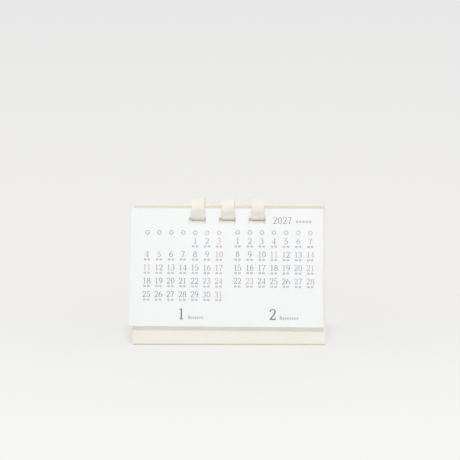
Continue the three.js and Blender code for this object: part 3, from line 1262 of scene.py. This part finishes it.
# The stage, in metres: rings and spokes of the floor, and where its tones and its glow change
FLOOR_RADII = (0.05, 30.0)
FLOOR_RINGS = 40
FLOOR_SPOKES = 96
MIDDLE_TONE = (-0.34, 0.16)
FAR_TONE = (-0.15, 1.05)
FAR_TONE_OFFSET = 0.6
GLOW_LIMITS = (0.09, 0.26)

# Place and width of each lamp, and the point they aim at
LAMPS = {
    "overhead": ((0.0, -0.34, 1.48), 0.34),
    "front": ((0.03, -1.3, 0.4), 0.3),
    "back": ((0.0, 1.3, 0.5), 0.6),
}
LAMP_AIM = (0.0, 0.0, 0.05)
SENSOR_WIDTH = 36.0


def add_floor(stage):
    """A round floor out to the horizon: rings whose radii grow by an even factor, and a middle point."""
    radii = np.geomspace(*FLOOR_RADII, FLOOR_RINGS)
    angles = np.linspace(0.0, 2 * math.pi, FLOOR_SPOKES + 1)[:-1]
    ring = np.stack((np.cos(angles), np.sin(angles)), -1)
    flat = (radii[:, None, None] * ring[None]).reshape(-1, 2)
    points = np.concatenate((flat, ((0.0, 0.0),)))
    points = np.column_stack((points, np.zeros(len(points))))
    index = np.arange(FLOOR_RINGS * FLOOR_SPOKES).reshape(FLOOR_RINGS, FLOOR_SPOKES)
    after = np.roll(index, -1, axis=1)
    quads = np.stack((index[:-1], index[1:], after[1:], after[:-1]), -1).reshape(-1, 4)
    fan = np.stack((index[0], after[0], np.full(FLOOR_SPOKES, len(points) - 1)), -1)
    data = bpy.data.meshes.new("floor")
    data.from_pydata(points.tolist(), [], [*quads.tolist(), *fan.tolist()])
    floor = bpy.data.objects.new("floor", data)
    bpy.context.scene.collection.objects.link(floor)
    floor.data.materials.append(floor_finish(stage))


def floor_finish(stage):
    """Pale matt paper that is partly seen as it is lit and partly in its plain tone, without shadow.

    The tone turns from near to middle along Y, and to far with the logarithm of the distance from the
    calendar: a painted falloff of light, lighter in front and darker behind and far away.
    """
    finish = Finish("floor_paper")
    where = finish.add("ShaderNodeTexCoord", out="Object")
    depth = finish.add("ShaderNodeSeparateXYZ", values={0: where}, out=1)
    away = finish.add("ShaderNodeVectorMath", {"operation": "LENGTH"}, {0: where}, out="Value")
    distance = {0: away + FAR_TONE_OFFSET, 1: 10.0}
    horizon = finish.add("ShaderNodeMath", {"operation": "LOGARITHM"}, distance)
    close = finish.mix(finish.spread(depth, *MIDDLE_TONE), tuple(stage.near), tuple(stage.middle))
    tone = finish.mix(finish.spread(horizon, *FAR_TONE), close, tuple(stage.far))
    matt = {"Base Color": tone, "Roughness": 0.9, "Specular IOR Level": 0.1}
    lit = finish.add("ShaderNodeBsdfPrincipled", values=matt)
    plain = finish.add("ShaderNodeEmission", values={"Color": tone, "Strength": 1.0})
    share = stage.glow + finish.spread(away, *GLOW_LIMITS) * (1.0 - stage.glow)
    both = {0: finish.seen() * share, 1: lit, 2: plain}
    return finish.surface(finish.add("ShaderNodeMixShader", values=both))


def add_light(stage):
    """Warm light from all round, which the camera sees as the plain backdrop, and the lamps."""
    room = Finish("soft_room", bpy.data.worlds.new("soft_room"), "ShaderNodeOutputWorld")
    warm = {"Color": tuple(stage.room), "Strength": stage.ambient}
    light = room.add("ShaderNodeBackground", values=warm)
    backdrop = room.add("ShaderNodeBackground", values={"Color": tuple(stage.far), "Strength": 1.0})
    room.surface(room.add("ShaderNodeMixShader", values={0: room.seen(), 1: light, 2: backdrop}))
    bpy.context.scene.world = room.owner
    for name, (place, width) in LAMPS.items():
        add_lamp(name, place, width, getattr(stage, name), stage.lamp)


def add_lamp(name, place, width, watts, colour):
    """A round lamp that points at the middle of the calendar."""
    lamp = bpy.data.lights.new(name, "AREA")
    lamp.shape = "DISK"
    lamp.size = width
    lamp.energy = watts
    lamp.color = tuple(colour)
    obj = bpy.data.objects.new(name, lamp)
    obj.location = place
    aim = Vector(LAMP_AIM) - obj.location
    obj.rotation_euler = aim.to_track_quat("-Z", "Y").to_euler()
    bpy.context.scene.collection.objects.link(obj)


def add_camera(stage):
    """The camera stands back from its target along its azimuth and elevation, turned by its roll."""
    azimuth, elevation, roll = stage.azimuth, stage.elevation, stage.roll
    back = Vector(
        (
            math.sin(azimuth) * math.cos(elevation),
            -math.cos(azimuth) * math.cos(elevation),
            math.sin(elevation),
        )
    )
    right = Vector((math.cos(azimuth), math.sin(azimuth), 0.0))
    up = back.cross(right)
    right_rolled = math.cos(roll) * right + math.sin(roll) * up
    up_rolled = math.cos(roll) * up - math.sin(roll) * right
    data = bpy.data.cameras.new("camera")
    data.sensor_width = SENSOR_WIDTH
    data.lens = SENSOR_WIDTH * stage.focal
    data.clip_start = 0.01
    data.clip_end = 100.0
    camera = bpy.data.objects.new("camera", data)
    turned = Matrix((right_rolled, up_rolled, back)).transposed()
    place = Vector((stage.target_x, stage.target_y, stage.target_z)) + back * stage.distance
    camera.matrix_world = Matrix.Translation(place) @ turned.to_4x4()
    bpy.context.scene.collection.objects.link(camera)
    bpy.context.scene.camera = camera


class CALENDAR_PT_sidebar(Panel):
    """Lists the steps, then every group of sizes and colours"""

    bl_idname = "CALENDAR_PT_sidebar"
    bl_label = "Desk Calendar"
    bl_space_type = "VIEW_3D"
    bl_region_type = "UI"
    bl_category = "Calendar"

    def draw(self, context):
        for step in STEPS:
            self.layout.operator(step.bl_idname)
        for name, group in GROUPS.items():
            box = self.layout.box()
            box.label(text=group.__doc__)
            for key in group.__annotations__:
                box.prop(getattr(context.scene, name), key)


GROUPS = {
    "calendar_easel": CalendarEasel,
    "calendar_straps": CalendarStraps,
    "calendar_leaves": CalendarLeaves,
    "calendar_print": CalendarPrint,
    "calendar_finish": CalendarFinish,
    "calendar_stage": CalendarStage,
}
STEPS = (
    CALENDAR_OT_easel,
    CALENDAR_OT_straps,
    CALENDAR_OT_leaves,
    CALENDAR_OT_print,
    CALENDAR_OT_stage,
)
CLASSES = (*GROUPS.values(), *STEPS, CALENDAR_PT_sidebar)


def register():
    """Registers the classes and hangs their groups on the scene."""
    for cls in CLASSES:
        bpy.utils.register_class(cls)
    for name, group in GROUPS.items():
        setattr(bpy.types.Scene, name, PointerProperty(type=group))


def unregister():
    """Takes back what register did, in reverse."""
    for name in GROUPS:
        delattr(bpy.types.Scene, name)
    for cls in reversed(CLASSES):
        bpy.utils.unregister_class(cls)


def main():
    """Builds everything."""
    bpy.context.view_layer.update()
    register()
    bpy.context.scene.view_settings.view_transform = "Standard"
    bpy.ops.calendar.easel()
    bpy.ops.calendar.straps()
    bpy.ops.calendar.leaves()
    bpy.ops.calendar.print()
    bpy.ops.calendar.stage()


if __name__ == "__main__":
    main()
